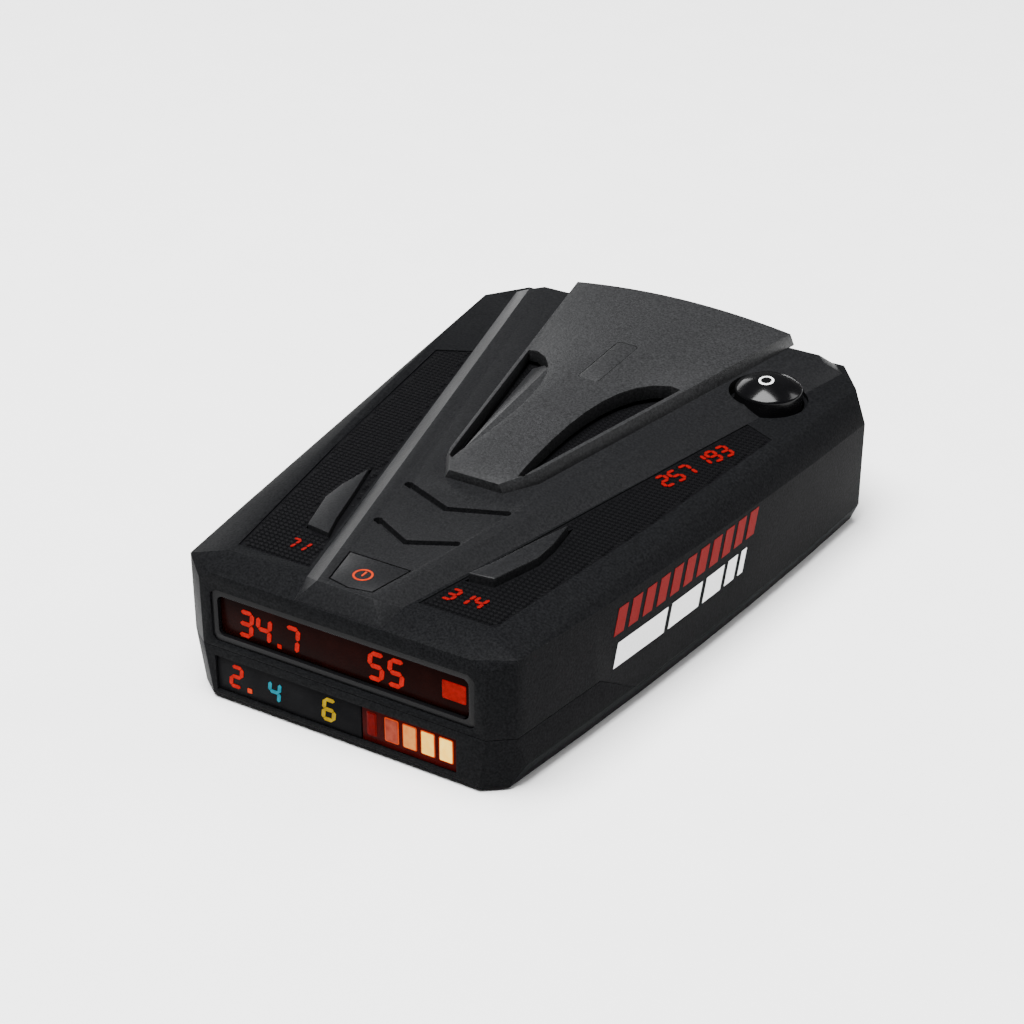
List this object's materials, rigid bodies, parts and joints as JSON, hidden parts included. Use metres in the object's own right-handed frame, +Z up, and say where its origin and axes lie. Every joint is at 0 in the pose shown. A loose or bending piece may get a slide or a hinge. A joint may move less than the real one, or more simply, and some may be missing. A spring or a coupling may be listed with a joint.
{
  "type": "radar detector",
  "caption": "Low tapered dashboard detector with a V fascia, raised hood, mesh strips, lit display end, press keys and a horn receiver inside.",
  "frame": {"origin": "on the surface it rests on, under the middle of the case", "axes": "+Z up, -Y towards the display end and the driver, +Y towards the road, +X to the driver's right"},
  "size_m": [0.0848, 0.117, 0.0336],
  "materials": {
    "case": "fine textured black",
    "fascia": "fine textured black",
    "hood": "fine textured black",
    "mesh": "woven relief, near black",
    "bezel": "satin black",
    "window": "smoked dark red",
    "strip": "smoked black",
    "bar_lens": "translucent red",
    "key": "fine textured black",
    "dome": "polished black",
    "jack": "moulded black",
    "pad": "ribbed rubber",
    "screw": "zinc plated",
    "board": "green solder mask",
    "component": "moulded black",
    "led": "clear amber",
    "ribbon": "ivory film",
    "horn": "die cast",
    "shield": "tinned",
    "gasket": "foam rubber",
    "capacitor": "sleeved"
  },
  "bodies": {
    "case": {"upper_shell": "case", "lower_shell": "case", "centre_fascia": "fascia", "hood_cover": "hood", "hood_mesh": "mesh", "hood_louvre": "fascia", "mesh_panel_left": "mesh", "mesh_panel_right": "mesh", "display_bezel": "bezel", "display_window": "window", "indicator_strip": "strip", "bar_window": "bar_lens", "sensor_cover": "hood", "rear_window": "window", "power_jack": "jack", "grip_pad": "pad", "case_screws": "screw", "main_board": "board", "board_screws": "screw", "display_board": "board", "display_module": "component", "bar_leds": "led", "indicator_leds": "led", "board_header": "component", "key_board": "board", "key_board_screws": "screw", "power_switch": "component", "dome_switch": "component", "fin_switch_left": "component", "fin_switch_right": "component", "ribbon_cable": "ribbon", "antenna_horn": "horn", "mixer_can": "shield", "laser_receiver": "component", "speaker": "component", "speaker_gasket": "gasket", "processor_chip": "component", "capacitors": "capacitor", "voltage_regulator": "component"},
    "power_key": {"power_key": "key"},
    "dome_button": {"dome_button": "dome"},
    "fin_key_left": {"fin_key_left": "key"},
    "fin_key_right": {"fin_key_right": "key"}
  },
  "joints": [
    {"name": "power_press", "type": "slide", "parent": "case", "child": "power_key", "axis": [0, 0.0143, -0.9999], "range_m": [0, 0.0006], "stiffness_N_per_m": 1500},
    {"name": "dome_press", "type": "slide", "parent": "case", "child": "dome_button", "axis": [0, 0.0143, -0.9999], "range_m": [0, 0.001], "stiffness_N_per_m": 1200},
    {"name": "fin_left_press", "type": "slide", "parent": "case", "child": "fin_key_left", "axis": [0, 0.0143, -0.9999], "range_m": [0, 0.0006], "stiffness_N_per_m": 1500},
    {"name": "fin_right_press", "type": "slide", "parent": "case", "child": "fin_key_right", "axis": [0, 0.0143, -0.9999], "range_m": [0, 0.0006], "stiffness_N_per_m": 1500}
  ]
}
